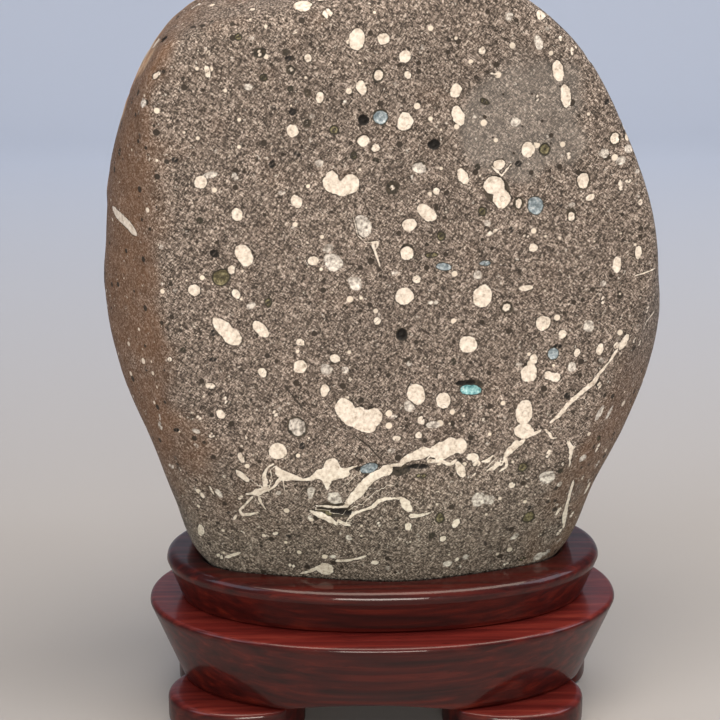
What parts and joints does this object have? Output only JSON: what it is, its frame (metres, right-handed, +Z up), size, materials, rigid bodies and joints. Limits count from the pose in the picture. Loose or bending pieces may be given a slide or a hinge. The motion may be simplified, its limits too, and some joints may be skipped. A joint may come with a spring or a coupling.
{
  "type": "scholars rock on stand",
  "caption": "Ground-face display stone with white mineral spots and veins, resting in a carved oval seat on a two-step wooden stand with lobed feet.",
  "frame": {"origin": "on the supporting surface, under the middle of the stand", "axes": "+Z up, +X to the right and +Y to the back when looking at the ground face"},
  "size_m": [0.1859, 0.0958, 0.2647],
  "materials": {
    "basalt": "fine-ground grey-brown basalt, matt, with cream mineral fillings",
    "rosewood": "dark red rosewood, stained and lacquered, satin gloss"
  },
  "bodies": {
    "root": {"stone": "basalt", "seat_ring": "rosewood", "base_tier": "rosewood", "foot_front_left": "rosewood", "foot_front_right": "rosewood", "foot_rear_left": "rosewood", "foot_rear_right": "rosewood"}
  },
  "joints": []
}
